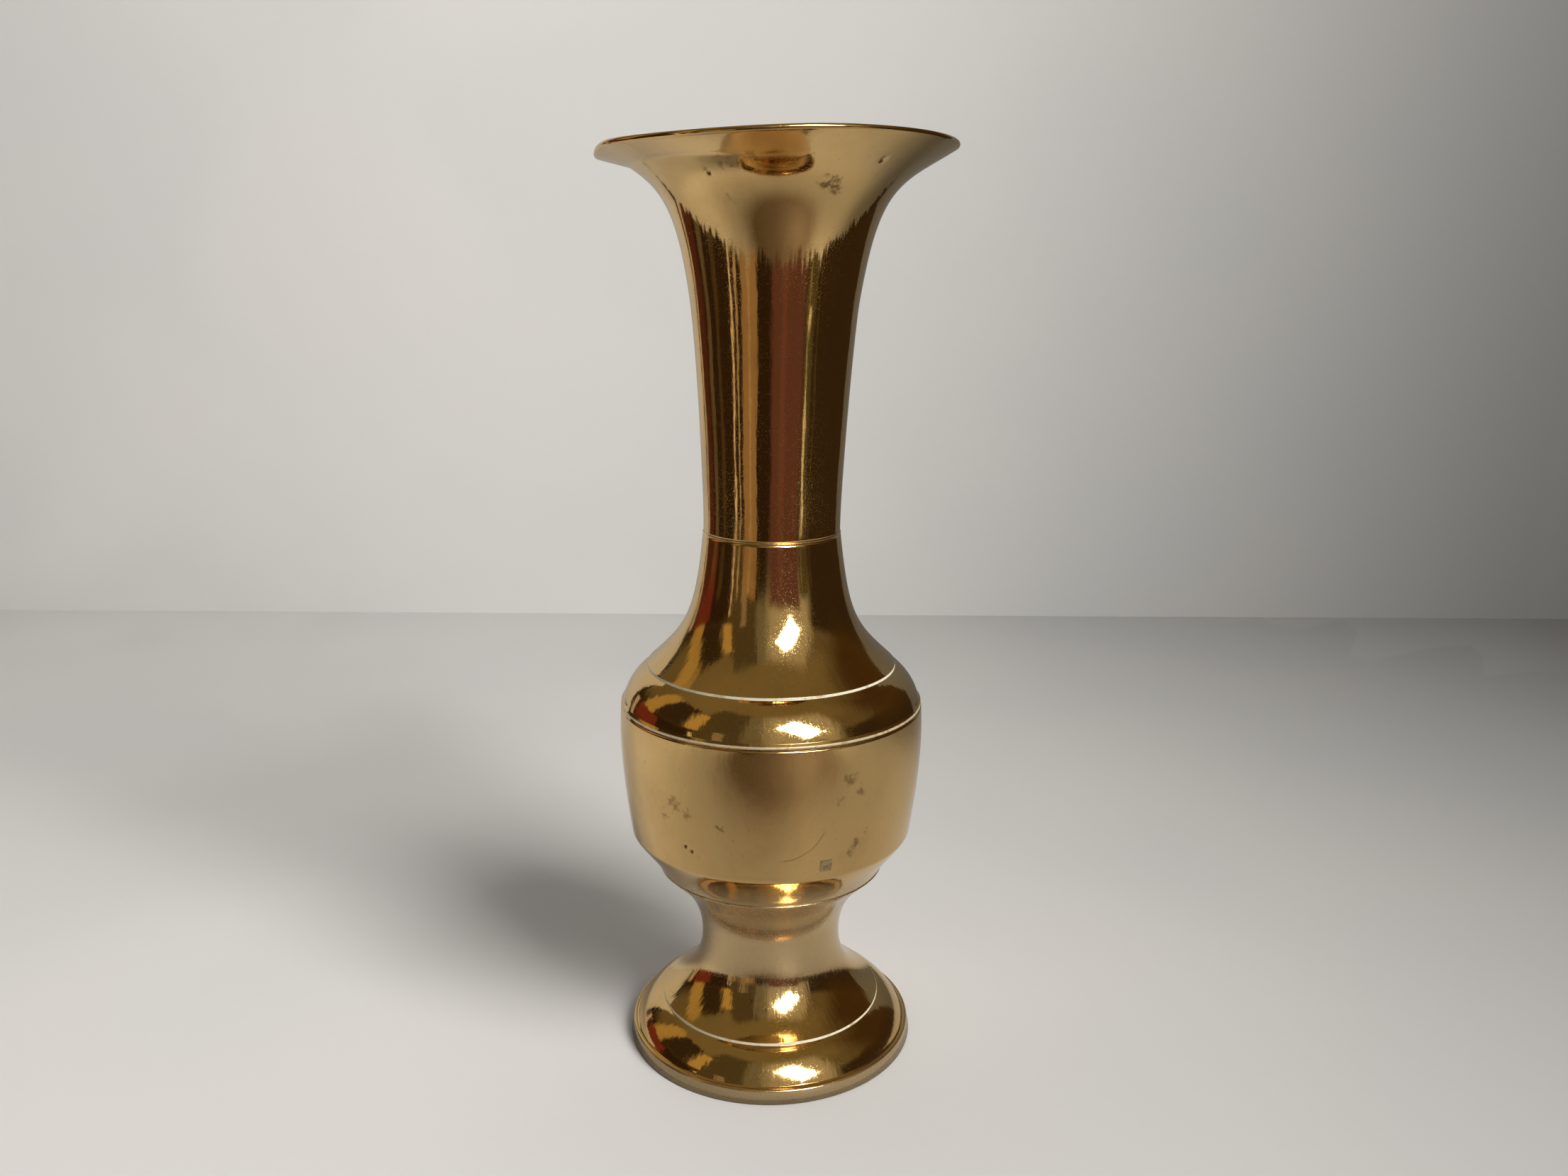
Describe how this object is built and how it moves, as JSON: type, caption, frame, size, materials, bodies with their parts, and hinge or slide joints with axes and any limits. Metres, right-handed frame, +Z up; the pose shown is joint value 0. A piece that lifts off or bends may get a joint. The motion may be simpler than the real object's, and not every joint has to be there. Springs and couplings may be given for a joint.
{
  "type": "vase",
  "caption": "Tall brass baluster vase with a flared trumpet mouth, long narrow neck, stepped shoulder, deep bowl and bell-shaped foot.",
  "frame": {"origin": "centre of the foot's underside, on the vase's axis", "axes": "+Z up along the vase's axis towards the mouth, +X to the right, +Y away from the viewer"},
  "size_m": [0.1112, 0.1112, 0.3],
  "materials": {
    "brass": "polished, lightly tarnished, with fine lathe lines",
    "braze": "turned flush and polished, slightly paler than the castings"
  },
  "bodies": {
    "root": {"trumpet_neck": "brass", "shoulder": "brass", "bowl": "brass", "foot": "brass", "neck_braze": "braze", "belly_braze": "braze", "stem_braze": "braze", "casting_plug": "braze"}
  },
  "joints": []
}
